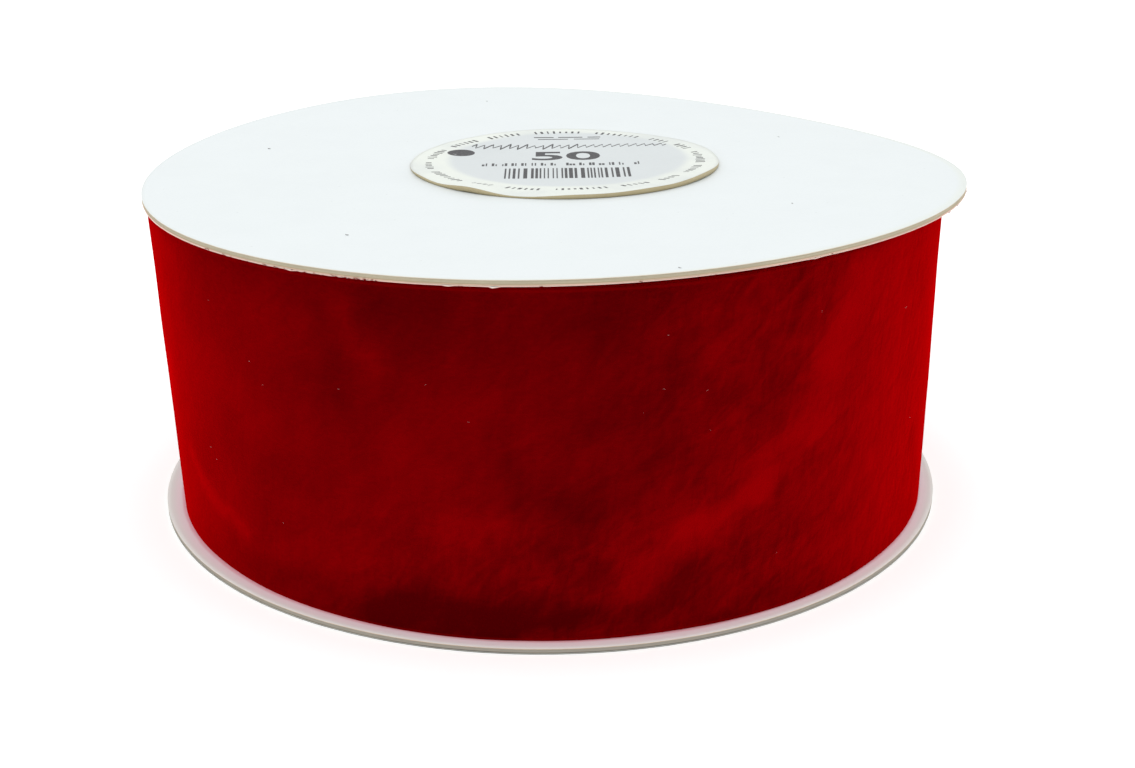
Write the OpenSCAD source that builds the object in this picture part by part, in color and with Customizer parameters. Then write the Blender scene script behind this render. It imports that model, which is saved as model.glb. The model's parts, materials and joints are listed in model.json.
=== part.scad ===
// Ribbon spool: two laminated board flanges on a spiral-wound paper core,
// wound with velvet ribbon and closed at the top with a round paper label.
// Sizes are millimetres. Z is the spool's axis, and the spool lies on its
// lower flange, whose face is at z = 0.

/* [Flanges] */
// Diameter of each flange
flange_d = 130; // [100:1:170]
// Thickness of the grey board inside a flange
board_t = 0.7; // [0.4:0.05:3]
// Thickness of the white paper on each face of a flange
liner_t = 0.1; // [0.05:0.01:0.4]
// Diameter of the spindle hole through both flanges
spindle_hole_d = 38; // [10:1:46]

/* [Core] */
// Outer diameter of the core tube, cover paper included
core_d = 70; // [58:1:84]
// Thickness of one grey ply of the core
core_ply_t = 0.6; // [0.2:0.05:1.5]
// Thickness of the brown lining paper inside the core
core_lining_t = 0.3; // [0.1:0.05:0.6]
// Thickness of the white cover paper round the core
core_cover_t = 0.15; // [0.1:0.05:0.4]
// Leg of the glue bead in the corner between the core and a flange
glue_leg = 1.5; // [0.5:0.1:3]

/* [Ribbon] */
// Width of the velvet ribbon
ribbon_w = 50.8; // [26:0.1:80]
// Free width between the ribbon and the upper flange
ribbon_side_play = 0.7; // [0.3:0.1:3]
// How far the winding stops short of the flange rim
ribbon_setback = 2.2; // [1:0.1:8]
// How far the winding leans off the core's axis
winding_lean = 0.8; // [0:0.1:0.9]

/* [Tapes] */
// Length, round the core, of the double-sided tape on the ribbon's inner end
start_tape_len = 20; // [8:1:40]
// Thickness of the double-sided tape
start_tape_t = 0.1; // [0.05:0.01:0.25]
// How far each end of the double-sided tape stays from a flange
start_tape_margin = 1.5; // [0.5:0.1:4]
// Length, round the ribbon, of the clear tape on the ribbon's outer end
tail_tape_len = 46; // [20:1:80]
// Width of the clear tape
tail_tape_w = 19; // [8:1:25]
// Thickness of the clear tape
tail_tape_t = 0.06; // [0.04:0.01:0.15]
// Angle round the spool of the ribbon's outer end
tail_angle = 128; // [0:1:359]

/* [Label] */
// How far the label laps over the upper flange round the spindle hole
label_lap = 6; // [4:0.5:12]
// Thickness of the label with its glue
label_t = 0.13; // [0.08:0.01:0.3]
// How far off the hole's centre the label is stuck
label_shift = 3.2; // [0:0.1:3.5]
// Direction of that shift round the spool
label_shift_angle = 27; // [0:1:359]

/* [Hidden] */
$fn = 180;
flange_r = flange_d / 2;
flange_t = board_t + 2 * liner_t;
hole_r = spindle_hole_d / 2;

// Heights of the two flanges' inner faces, and the overall height.
winding_room = ribbon_w + ribbon_side_play;
floor_z = flange_t;
ceiling_z = floor_z + winding_room;
spool_h = ceiling_z + flange_t;

// Radii of the core's layers, from the outside in.
core_r = core_d / 2;
outer_ply_r = core_r - core_cover_t;
inner_ply_r = outer_ply_r - core_ply_t;
lining_r = inner_ply_r - core_ply_t;
core_bore_r = lining_r - core_lining_t;

// The ribbon's first turn lies on the double-sided tape.
winding_inner_r = core_r + start_tape_t;
winding_r = flange_r - ribbon_setback;

label_d = spindle_hole_d + 2 * label_lap;

white_paper = "#F4F6F4";
grey_board = "#B9B39D";
core_board = "#A89A80";
kraft_paper = "#B98F5E";
glue_white = "#EDEAD8";
velvet_red = "#7D0305";
clear_film = "#DCE3E6";
tape_yellow = "#E4DDB8";

// A round tube standing on z = 0.
module tube(outer_r, inner_r, h) {
    difference() {
        cylinder(r = outer_r, h = h);
        translate([0, 0, -1]) cylinder(r = inner_r, h = h + 2);
    }
}

// A strip bent round a cylinder of radius r, centred on the +X direction.
module bent_strip(r, len, w, t) {
    sweep = len / r * 180 / PI;
    rotate([0, 0, -sweep / 2])
        rotate_extrude(angle = sweep)
            translate([r, 0]) square([t, w]);
}

// One disc of a laminated flange, with the spindle hole through it.
module flange_disc(t) {
    tube(flange_r, hole_r, t);
}

// One tube of the core, reaching from flange to flange.
module core_tube(outer_r, inner_r) {
    translate([0, 0, floor_z]) tube(outer_r, inner_r, winding_room);
}

// A bead of glue in the corner at the foot of the core's bore.
module glue_bead() {
    rotate_extrude()
        polygon([[core_bore_r, 0], [core_bore_r, glue_leg], [core_bore_r - glue_leg, 0]]);
}

module lower_flange_outer_paper() {
    color(white_paper) flange_disc(liner_t);
}

module lower_flange_board() {
    color(grey_board) translate([0, 0, liner_t]) flange_disc(board_t);
}

module lower_flange_inner_paper() {
    color(white_paper) translate([0, 0, floor_z - liner_t]) flange_disc(liner_t);
}

module core_lining() {
    color(kraft_paper) core_tube(lining_r, core_bore_r);
}

module core_inner_ply() {
    color(core_board) core_tube(inner_ply_r, lining_r);
}

module core_outer_ply() {
    color(core_board) core_tube(outer_ply_r, inner_ply_r);
}

module core_cover() {
    color(white_paper) core_tube(core_r, outer_ply_r);
}

module lower_glue_bead() {
    color(glue_white) translate([0, 0, floor_z]) glue_bead();
}

module upper_glue_bead() {
    color(glue_white) translate([0, 0, ceiling_z]) mirror([0, 0, 1]) glue_bead();
}

module start_tape() {
    color(tape_yellow)
        translate([0, 0, floor_z + start_tape_margin])
            bent_strip(core_r, start_tape_len, winding_room - 2 * start_tape_margin, start_tape_t);
}

// The wound ribbon: round the core inside, leaning off the axis outside.
module ribbon() {
    color(velvet_red)
        translate([0, 0, floor_z])
            difference() {
                translate([-winding_lean, 0, 0]) cylinder(r = winding_r, h = ribbon_w);
                translate([0, 0, -1]) cylinder(r = winding_inner_r, h = ribbon_w + 2);
            }
}

module tail_tape() {
    color(clear_film)
        translate([-winding_lean, 0, floor_z + (ribbon_w - tail_tape_w) / 2])
            rotate([0, 0, tail_angle])
                bent_strip(winding_r, tail_tape_len, tail_tape_w, tail_tape_t);
}

module upper_flange_inner_paper() {
    color(white_paper) translate([0, 0, ceiling_z]) flange_disc(liner_t);
}

module upper_flange_board() {
    color(grey_board) translate([0, 0, ceiling_z + liner_t]) flange_disc(board_t);
}

module upper_flange_outer_paper() {
    color(white_paper) translate([0, 0, spool_h - liner_t]) flange_disc(liner_t);
}

module label() {
    color(white_paper)
        translate([label_shift * cos(label_shift_angle), label_shift * sin(label_shift_angle), spool_h])
            cylinder(d = label_d, h = label_t);
}

lower_flange_outer_paper();
lower_flange_board();
lower_flange_inner_paper();
core_lining();
core_inner_ply();
core_outer_ply();
core_cover();
lower_glue_bead();
upper_glue_bead();
start_tape();
ribbon();
tail_tape();
upper_flange_inner_paper();
upper_flange_board();
upper_flange_outer_paper();
label();
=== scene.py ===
"""Ribbon spool: the finish of a velvet ribbon wound between two board flanges."""
import json
import math
import random

import bmesh
import bpy
from bpy.props import FloatProperty, FloatVectorProperty, IntProperty, PointerProperty
from mathutils import Matrix, Vector, noise


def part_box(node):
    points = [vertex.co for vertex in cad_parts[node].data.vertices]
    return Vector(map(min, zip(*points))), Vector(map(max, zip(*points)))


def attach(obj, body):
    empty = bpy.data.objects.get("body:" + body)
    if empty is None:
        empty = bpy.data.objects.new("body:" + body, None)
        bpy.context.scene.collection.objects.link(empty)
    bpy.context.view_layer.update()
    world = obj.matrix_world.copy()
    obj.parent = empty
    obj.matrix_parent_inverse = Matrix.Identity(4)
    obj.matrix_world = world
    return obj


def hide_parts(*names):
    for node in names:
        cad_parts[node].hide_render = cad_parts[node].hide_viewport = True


bl_info = {
    "name": "Ribbon Spool",
    "version": (1, 0, 0),
    "blender": (4, 5, 0),
    "location": "View3D > Sidebar > Ribbon Spool",
    "description": "Velvet ribbon wound on a paper core between two board flanges",
    "category": "Add Mesh",
}

MM = 0.001
TURN = 2 * math.pi

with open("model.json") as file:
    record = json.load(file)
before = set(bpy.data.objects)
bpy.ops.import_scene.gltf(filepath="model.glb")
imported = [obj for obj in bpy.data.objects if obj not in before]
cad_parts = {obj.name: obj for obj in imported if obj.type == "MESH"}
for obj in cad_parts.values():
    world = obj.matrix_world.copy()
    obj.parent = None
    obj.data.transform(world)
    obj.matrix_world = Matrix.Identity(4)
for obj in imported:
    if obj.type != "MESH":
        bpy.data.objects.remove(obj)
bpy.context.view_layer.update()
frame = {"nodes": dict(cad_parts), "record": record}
# Noise vectors start from the clock unless they are seeded, so that every run would differ.
noise.seed_set(19)


def radius_of(node):
    """Outer radius of a round CAD node centred on the spool's axis."""
    low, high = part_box(node)
    return (high.y - low.y) / 2


def bottom_of(node):
    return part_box(node)[0].z


def top_of(node):
    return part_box(node)[1].z


SPINDLE_R = frame["record"]["mounts"][0]["dims"]["r_mm"] * MM
FLANGE_R = radius_of("upper_flange_board")
CORE_R = radius_of("core_cover")
LINING_R = radius_of("core_lining")
BORE_R = radius_of("lower_glue_bead")
CEILING_Z = bottom_of("upper_flange_inner_paper")
TOP_Z = top_of("upper_flange_outer_paper")
RIBBON_LOW, RIBBON_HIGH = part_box("ribbon")
RIBBON_W = RIBBON_HIGH.z - RIBBON_LOW.z
WINDING_R = (RIBBON_HIGH.y - RIBBON_LOW.y) / 2
LEAN = (RIBBON_HIGH.x + RIBBON_LOW.x) / 2
FIRST_TURN_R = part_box("start_tape")[1].x
LABEL_LOW, LABEL_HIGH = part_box("label")
LABEL_R = (LABEL_HIGH.x - LABEL_LOW.x) / 2
LABEL_CENTRE = (LABEL_LOW + LABEL_HIGH) / 2
TAPE_LOW, TAPE_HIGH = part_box("tail_tape")


def srgb(red, green, blue):
    """A colour given in 0 to 255 steps, as the linear values that shaders take."""
    def channel(value):
        value /= 255
        return value / 12.92 if value <= 0.04045 else ((value + 0.055) / 1.055) ** 2.4
    return tuple(channel(value) for value in (red, green, blue))


# ---------------------------------------------------------------- sizes and colours


def length(name, description, default):
    return FloatProperty(
        name=name, description=description, default=default, unit="LENGTH", precision=5
    )


def slide(name, description, default):
    return FloatVectorProperty(
        name=name, description=description, size=2, default=default, unit="LENGTH", precision=5
    )


def turn_angle(name, description, degrees):
    return FloatProperty(
        name=name, description=description, default=math.radians(degrees), subtype="ANGLE"
    )


def power(name, description, default):
    return FloatProperty(name=name, description=description, default=default, unit="POWER")


def colour(name, description, default):
    return FloatVectorProperty(
        name=name, description=description, default=default, subtype="COLOR", min=0, max=1
    )


class SpoolSizes(bpy.types.PropertyGroup):
    flange_warp: length("Flange Warp", "How far the upper flange's rim bends out of flat", 1.1 * MM)
    upper_slide: slide("Upper Slide", "How far off its hole the upper disc was cut", (0.6 * MM, 0))
    lower_slide: slide("Lower Slide", "How far off its hole the lower disc was cut", (-0.6 * MM, 1.05 * MM))
    board_crush: length("Board Crush", "How far the cut edge of the board stands back or bulges", 0.03 * MM)
    turn_steps: IntProperty(name="Turn Steps", description="Steps in an inner turn of ribbon", default=96)
    outer_steps: IntProperty(name="Outer Steps", description="Steps in the outer turn", default=360)
    ribbon_ripple: length("Ribbon Ripple", "How far the outer turn swells and dips", 0.16 * MM)
    winding_flare: length("Winding Flare", "How far the winding leans out to the top", 0.7 * MM)
    pile_press: length("Pile Press", "How far the clear tape presses the pile down", 0.22 * MM)
    tape_teeth: IntProperty(name="Tape Teeth", description="Teeth of the tape's torn end", default=15)
    label_slide: length("Label Slide", "How far left of the spindle hole's mark the label landed", 0.6 * MM)
    label_curl: length("Label Edge", "Thickness of label and adhesive where the edge has lifted", 0.75 * MM)
    label_lift: length("Label Lift", "How far the label's edge lifts off the flange", 0.8 * MM)
    label_sag: length("Label Sag", "How far the label sinks into the spindle hole", 0.25 * MM)
    seam_pitch: length("Seam Pitch", "Rise of the core's spiral seam in one turn", 58 * MM)


class SpoolColours(bpy.types.PropertyGroup):
    velvet_deep: colour("Velvet Deep", "Velvet where the pile stands up", srgb(67, 0, 2))
    velvet_light: colour("Velvet Light", "Velvet where the pile lies over", srgb(133, 0, 3))
    flange_white: colour("Flange White", "Coated paper on the flanges", srgb(220, 226, 227))
    board_tan: colour("Board Tan", "Cut edge of the flange board", srgb(182, 172, 148))
    core_board: colour("Core Board", "Grey plies of the core", srgb(150, 134, 110))
    kraft: colour("Kraft", "Lining paper inside the core", srgb(176, 128, 82))
    core_white: colour("Core White", "Cover paper round the core", srgb(232, 230, 222))
    glue: colour("Glue", "Glue beads", srgb(226, 208, 158))
    label_cream: colour("Label Cream", "Paper of the label", srgb(221, 226, 219))
    # A painted shade over the middle of the label, where it lies over the dark spindle hole.
    label_shade: colour("Label Grey", "Printed tint on the label", srgb(203, 209, 210))
    ink: colour("Ink", "Print on the label", srgb(45, 45, 48))
    tape_yellow: colour("Tape", "Double-sided tape", srgb(222, 212, 170))
    lint: colour("Lint", "Specks of lint on the velvet", srgb(196, 150, 146))


class SpoolStudio(bpy.types.PropertyGroup):
    lens: FloatProperty(name="Lens", description="Focal length", default=50.25, unit="CAMERA")
    distance: length("Distance", "From the camera to the middle of the upper flange", 0.25899)
    elevation: turn_angle("Elevation", "Height of the camera's view", 12.70)
    tilt: turn_angle("Tilt", "How far the camera looks down past the flange", 7.90)
    pan: turn_angle("Pan", "How far the camera looks aside", -0.517)
    roll: turn_angle("Roll", "Roll of the camera", 0.618)
    overhead: power("Overhead", "Power of the overhead light", 17.0)
    sides: power("Sides", "Power of each side light", 4.0)
    front: power("Front", "Power of the front light", 1.0)
    surround: FloatProperty(name="Surround", description="Brightness of the white surround", default=0.82)


# ---------------------------------------------------------------- mesh helpers


def finish_piece(context, name, bm, materials, replaces=()):
    """Make a piece of the finished object from a bmesh whose place is in its points."""
    bmesh.ops.recalc_face_normals(bm, faces=bm.faces)
    mesh = bpy.data.meshes.new(name)
    bm.to_mesh(mesh)
    bm.free()
    for polygon in mesh.polygons:
        polygon.use_smooth = True
    for material in materials:
        mesh.materials.append(material)
    piece = bpy.data.objects.new(name, mesh)
    context.scene.collection.objects.link(piece)
    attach(piece, "root")
    if replaces:
        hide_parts(*replaces)
    return piece


def smooth_step(low, high, value):
    t = min(max((value - low) / (high - low), 0.0), 1.0)
    return t * t * (3 - 2 * t)


def bump_at(angle, centre, spread):
    """A soft hump round an angle, all in degrees, 1 at its centre."""
    away = (angle - centre + 180) % 360 - 180
    return math.exp(-((away / spread) ** 2))


def spun(profile, steps):
    """A ring with this closed outline of (radius, height) points, spun round the spool's axis."""
    bm = bmesh.new()
    verts = [bm.verts.new((radius, 0, height)) for radius, height in profile]
    edges = [bm.edges.new((a, b)) for a, b in zip(verts, verts[1:] + verts[:1])]
    bmesh.ops.spin(
        bm, geom=verts + edges, cent=(0, 0, 0), axis=(0, 0, 1), angle=TURN, steps=steps, use_merge=True
    )
    bmesh.ops.remove_doubles(bm, verts=bm.verts, dist=1e-7)
    return bm


def between(start, end, steps):
    """Points from start to end, without the last."""
    return [tuple(a + (b - a) * step / steps for a, b in zip(start, end)) for step in range(steps)]


def tube_profile(inner, outer, low, high, steps, corner):
    """The closed outline of a tube's wall: its corners cut, and both its sides in steps."""
    foot = [(inner + corner, low), (outer - corner, low)]
    outside = between((outer, low + corner), (outer, high - corner), steps)
    top = [(outer, high - corner), (outer - corner, high), (inner + corner, high)]
    inside = between((inner, high - corner), (inner, low + corner), steps)
    return foot + outside + top + inside + [(inner, low + corner)]


def thicken(bm, height):
    """Give a flat sheet its thickness: raise a copy of it, and close the sides."""
    raised = bmesh.ops.extrude_face_region(bm, geom=list(bm.faces), use_keep_orig=True)["geom"]
    verts = [part for part in raised if isinstance(part, bmesh.types.BMVert)]
    bmesh.ops.translate(bm, verts=verts, vec=(0, 0, height))


# ---------------------------------------------------------------- shader helpers


def add(tree, kind, links=None, **settings):
    """A shader node with its settings, and its sockets set or linked by name or number."""
    node = tree.nodes.new("ShaderNode" + kind)
    for name, value in settings.items():
        setattr(node, name, value)
    for name, value in (links or {}).items():
        if isinstance(value, bpy.types.NodeSocket):
            tree.links.new(value, node.inputs[name])
        else:
            node.inputs[name].default_value = value
    return node


def mix_colour(tree, factor, first, second):
    """A colour part of the way from the first to the second; either can be three numbers."""
    first, second = ((*part, 1) if isinstance(part, tuple) else part for part in (first, second))
    return add(tree, "Mix", {0: factor, 6: first, 7: second}, data_type="RGBA").outputs[2]


def maths(tree, operation, first, second=0.0):
    return add(tree, "Math", {0: first, 1: second}, operation=operation).outputs[0]


def ranged(tree, value, low, high, out_low=0.0, out_high=1.0):
    """A value brought smoothly from one range to another, and held at its ends."""
    sockets = {0: value, 1: low, 2: high, 3: out_low, 4: out_high}
    return add(tree, "MapRange", sockets, interpolation_type="SMOOTHSTEP").outputs[0]


def over(tree, base, value, low, high, colour, most=1.0):
    """The base with a colour laid over it where a value goes from low to high."""
    return mix_colour(tree, ranged(tree, value, low, high, 0.0, most), base, colour)


def new_material(name, **shader):
    """An empty material, with its tree and its Principled shader."""
    material = bpy.data.materials.new(name)
    material.use_nodes = True
    tree = material.node_tree
    tree.nodes.clear()
    surface = add(tree, "BsdfPrincipled")
    for socket, value in shader.items():
        surface.inputs[socket.replace("_", " ").title().replace("Ior", "IOR")].default_value = value
    output = add(tree, "OutputMaterial")
    tree.links.new(surface.outputs[0], output.inputs[0])
    return material, tree, surface


def plug(tree, surface, colour=None, roughness=None, height=None, depth=0.0, strength=1.0):
    """Link colour, roughness and a bump of this depth in metres to the shader."""
    if colour is not None:
        tree.links.new(colour, surface.inputs["Base Color"])
    if roughness is not None:
        tree.links.new(roughness, surface.inputs["Roughness"])
    if height is not None:
        bump = add(tree, "Bump", {"Height": height, "Distance": depth, "Strength": strength})
        tree.links.new(bump.outputs[0], surface.inputs["Normal"])


def object_place(tree):
    return add(tree, "TexCoord").outputs["Object"]


def paper_grain_group():
    """Felted fibres and cloudy formation, as any paper or board shows."""
    group = bpy.data.node_groups.new("Paper Grain", "ShaderNodeTree")
    for name, direction, kind in (
        ("Place", "INPUT", "Vector"), ("Fibre Size", "INPUT", "Float"),
        ("Fibres", "OUTPUT", "Float"), ("Clouds", "OUTPUT", "Float"), ("Specks", "OUTPUT", "Float"),
    ):
        group.interface.new_socket(name, in_out=direction, socket_type="NodeSocket" + kind)
    given = group.nodes.new("NodeGroupInput").outputs
    put = group.nodes.new("NodeGroupOutput").inputs
    place = given["Place"]
    felt = {"Vector": place, "Scale": given["Fibre Size"], "Detail": 4.0, "Distortion": 1.6}
    fibres = add(group, "TexNoise", felt)
    clouds = add(group, "TexNoise", {"Vector": place, "Scale": 120.0, "Detail": 3.0})
    speck_size = maths(group, "MULTIPLY", given["Fibre Size"], 0.35)
    cells = add(group, "TexVoronoi", {"Vector": place, "Scale": speck_size})
    specks = ranged(group, cells.outputs["Distance"], 0.05, 0.16, 1.0, 0.0)
    picks = add(group, "SeparateColor", {0: cells.outputs["Color"]})
    picked = maths(group, "GREATER_THAN", picks.outputs[0], 0.93)
    group.links.new(fibres.outputs[0], put["Fibres"])
    group.links.new(clouds.outputs[0], put["Clouds"])
    group.links.new(maths(group, "MULTIPLY", specks, picked), put["Specks"])
    return group


def shade(tint, *factors):
    """A colour times one factor, or times one for each channel."""
    return tuple(channel * factor for channel, factor in zip(tint, factors * (3 // len(factors))))


def attribute(tree, name):
    return add(tree, "Attribute", attribute_name=name).outputs["Fac"]


def length_of(tree, vector):
    return add(tree, "VectorMath", {0: vector}, operation="LENGTH").outputs["Value"]


def flattened(tree, place):
    """A place without its height."""
    parts = add(tree, "SeparateXYZ", {0: place}).outputs
    return add(tree, "CombineXYZ", {0: parts[0], 1: parts[1], 2: 0.0}).outputs[0]


def paper(grain, name, tint, shaded, speck, fibre_size=1500.0, roughness=0.6, depth=0.02 * MM):
    """A paper whose colour drifts a little to a shade, with stray specks in the pulp."""
    material, tree, surface = new_material(name, roughness=roughness, specular_ior_level=0.35)
    sockets = {"Place": object_place(tree), "Fibre Size": fibre_size}
    marks = add(tree, "Group", sockets, node_tree=grain).outputs
    base = over(tree, tint, marks["Clouds"], 0.25, 1.0, shaded)
    base = over(tree, base, marks["Fibres"], 0.35, 0.75, shaded, 0.35)
    base = mix_colour(tree, marks["Specks"], base, speck)
    rough = ranged(tree, marks["Fibres"], 0.2, 0.8, roughness - 0.08, roughness + 0.08)
    plug(tree, surface, base, rough, marks["Fibres"], depth)
    return material, tree, surface, base, marks


def red_bounce_tint(tree, flat_place, marks, sizes):
    """Painted pink glow of light bounced from the velvet onto the paper: reddest close by the winding's foot.
    """
    off_middle = add(tree, "VectorMath", {0: flat_place, 1: (LEAN, 0, 0)}, operation="SUBTRACT").outputs[0]
    gap = length_of(tree, off_middle)
    # The winding's foot stands further in at the front left.
    front = add(tree, "VectorMath", {0: flat_place, 1: (-0.707, -0.707, 0)}, operation="DOT_PRODUCT")
    lean_in = maths(tree, "MULTIPLY", front.outputs["Value"], 0.6 / WINDING_R)
    lean_in = maths(tree, "MULTIPLY", maths(tree, "ADD", lean_in, 0.65), sizes.winding_flare)
    gap = maths(tree, "ADD", maths(tree, "SUBTRACT", gap, WINDING_R), lean_in)
    gap = maths(tree, "ADD", gap, ranged(tree, marks["Clouds"], 0.2, 0.8, -0.1 * MM, 0.1 * MM))
    bounce_colour = mix_colour(tree, ranged(tree, gap, 0.4 * MM, 2.2 * MM), (0.84, 0.70, 0.74), (0.74, 0.74, 0.71))
    return mix_colour(tree, ranged(tree, gap, 0.5 * MM, -0.1 * MM), bounce_colour, (0.80, 0.42, 0.48))


def coated_white_material(grain, white, sizes):
    """Coated paper: creamier by its rim, rubbed where it stands, painted pink by light bounced from the
    velvet, bare pulp at the cut, painted dark with a contact shadow at the standing rim.
    """
    material, tree, surface, base, marks = paper(
        grain, "coated_white", white, shade(white, 0.975), shade(white, 0.86), 2200.0, 0.5, 0.004 * MM
    )
    place = object_place(tree)
    flat_place = flattened(tree, place)
    at_rim = ranged(tree, length_of(tree, flat_place), FLANGE_R - 1.2 * MM, FLANGE_R, 0.0, 0.5)
    base = mix_colour(tree, at_rim, base, shade(white, 0.95, 0.94, 0.85))
    wear = attribute(tree, "wear")
    for turn, reach in ((0.5, (35, 1.2)), (1.1, (26, 0.9)), (2.7, (14, 9))):
        size = (reach[0] * MM, reach[1] * MM, 1.0)
        lie = add(tree, "Mapping", {0: place, 2: (0, 0, turn), 3: size}, vector_type="TEXTURE")
        sockets = {"Scale": 1.0, "Detail": 2.0, "Distortion": 0.4}
        rub = add(tree, "TexNoise", {"Vector": lie.outputs[0], **sockets}).outputs[0]
        rub = maths(tree, "MULTIPLY", ranged(tree, rub, 0.64, 0.82, 0.0, 0.5), wear)
        base = mix_colour(tree, rub, base, shade(white, 0.7))
    red_bounce = attribute(tree, "red_bounce")
    # Painted pink glow of light bounced from the velvet onto the flange's inner face.
    base = over(tree, base, red_bounce, 0.1, 0.25, red_bounce_tint(tree, flat_place, marks, sizes))
    # A cut rim shows bare pulp; the upper lining's rim takes the painted pink glow, and the rim of a disc
    # that stands on the table is painted dark as a contact shadow.
    cut = attribute(tree, "cut")
    pulp, red_lit_pulp, painted_contact_shadow = srgb(206, 192, 170), srgb(226, 176, 160), srgb(92, 90, 86)
    trimmed = mix_colour(tree, ranged(tree, red_bounce, 0.5, 0.9), pulp, red_lit_pulp)
    base = over(tree, base, cut, 0.2, 0.9, trimmed)
    plug(tree, surface, mix_colour(tree, ranged(tree, cut, 1.1, 1.7), base, painted_contact_shadow))
    return material


def grey_board_material(grain, tan):
    """Board whose pressed sheets of pulp show as fine lines along its cut edge."""
    material, tree, surface, base, _ = paper(
        grain, "grey_board", tan, shade(tan, 0.72), shade(tan, 0.35), 2600.0, 0.85, 0.05 * MM
    )
    layer_place = add(tree, "Mapping", {0: object_place(tree), 3: (60.0, 60.0, 9000.0)}).outputs[0]
    layers = add(tree, "TexNoise", {"Vector": layer_place, "Scale": 1.0, "Detail": 2.0}).outputs[0]
    rise = attribute(tree, "rise")
    base = over(tree, base, rise, 0.5, 0.34, shade(tan, 0.8, 0.7, 0.62))
    # Painted pink glow of light bounced from the velvet, on the winding's side of the cut edge.
    base = over(tree, base, rise, 0.32, 0.14, srgb(214, 180, 160))
    base = over(tree, base, rise, 0.75, 1.0, shade(tan, 0.85))
    # The disc that stands on the table is greyer, and dark along its foot with a painted contact shadow.
    foot = mix_colour(tree, ranged(tree, rise, 0.6, 0.85), srgb(152, 148, 139), srgb(104, 101, 96))
    base = over(tree, base, attribute(tree, "cut"), 1.2, 1.9, foot)
    base = over(tree, base, layers, 0.38, 0.66, shade(tan, 0.7), 0.5)
    plug(tree, surface, base, height=layers, depth=0.04 * MM)
    return material


def kraft_lining_material(grain, kraft, sizes):
    """Brown lining paper, with a dark butt seam that climbs round the tube."""
    material, tree, surface, base, marks = paper(
        grain, "kraft_lining", kraft, shade(kraft, 0.8), shade(kraft, 0.45), 1400.0, 0.8, 0.03 * MM
    )
    place = add(tree, "SeparateXYZ", {0: object_place(tree)}).outputs
    angle = maths(tree, "ARCTAN2", place[1], place[0])
    climb = maths(tree, "MULTIPLY", angle, sizes.seam_pitch / TURN)
    across = maths(tree, "DIVIDE", maths(tree, "ADD", place[2], climb), sizes.seam_pitch)
    off_seam = maths(tree, "ABSOLUTE", maths(tree, "SUBTRACT", maths(tree, "FRACT", across), 0.5))
    seam = ranged(tree, off_seam, 0.0, 0.008, 1.0, 0.0)
    base = mix_colour(tree, seam, base, shade(kraft, 0.3))
    plug(tree, surface, base, height=maths(tree, "SUBTRACT", marks["Fibres"], seam), depth=0.05 * MM)
    return material


def make_materials(colours, sizes):
    """Every finish of the spool, by name."""
    grain = paper_grain_group()
    core, cover, tape = tuple(colours.core_board), tuple(colours.core_white), tuple(colours.tape_yellow)
    back, back_shade, back_speck = srgb(184, 172, 138), srgb(168, 154, 118), srgb(120, 105, 80)
    light = tuple(colours.velvet_light)
    return {
        "coated_white": coated_white_material(grain, tuple(colours.flange_white), sizes),
        "grey_board": grey_board_material(grain, tuple(colours.board_tan)),
        "kraft_lining": kraft_lining_material(grain, tuple(colours.kraft), sizes),
        "core_board": paper(
            grain, "core_board", core, shade(core, 0.75), shade(core, 0.4), 1800.0, 0.9, 0.04 * MM
        )[0],
        "core_cover_paper": paper(
            grain, "core_cover_paper", cover, shade(cover, 0.95), shade(cover, 0.8), 1500.0, 0.6
        )[0],
        "tape_yellow": paper(grain, "tape_yellow", tape, shade(tape, 0.92), shade(tape, 0.8), 900.0, 0.35)[0],
        "label_back": paper(grain, "label_back", back, back_shade, back_speck, 1200.0, 0.55)[0],
        "glue": glue_material(tuple(colours.glue)),
        "velvet": velvet_material(tuple(colours.velvet_deep), light),
        "clear_film": clear_film_material(),
        "label_face": label_face_material(grain, tuple(colours.label_cream), tuple(colours.label_shade)),
        "ink": ink_material(tuple(colours.ink)),
        "lint": fibre_material("lint_white", tuple(colours.lint)),
        "grey_lint": fibre_material("lint_grey", srgb(150, 152, 150)),
        "fuzz": fibre_material("fuzz_red", shade(light, 0.8)),
    }


def glue_material(tint):
    """Hot-melt glue: cloudy, glossy, with small pits."""
    material, tree, surface = new_material(
        "hot_melt_glue", roughness=0.28, specular_ior_level=0.5, subsurface_weight=0.3, coat_weight=0.2
    )
    surface.inputs["Subsurface Radius"].default_value = (1.5 * MM, 1.0 * MM, 0.5 * MM)
    surface.inputs["Subsurface Scale"].default_value = 1.0
    place = object_place(tree)
    cloud = add(tree, "TexNoise", {"Vector": place, "Scale": 260.0, "Detail": 3.0})
    pits = add(tree, "TexNoise", {"Vector": place, "Scale": 900.0, "Detail": 2.0})
    base = over(tree, tint, cloud.outputs[0], 0.35, 0.7, shade(tint, 0.8))
    rough = ranged(tree, pits.outputs[0], 0.3, 0.7, 0.2, 0.45)
    plug(tree, surface, base, rough, pits.outputs[0], 0.06 * MM)
    return material


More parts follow.
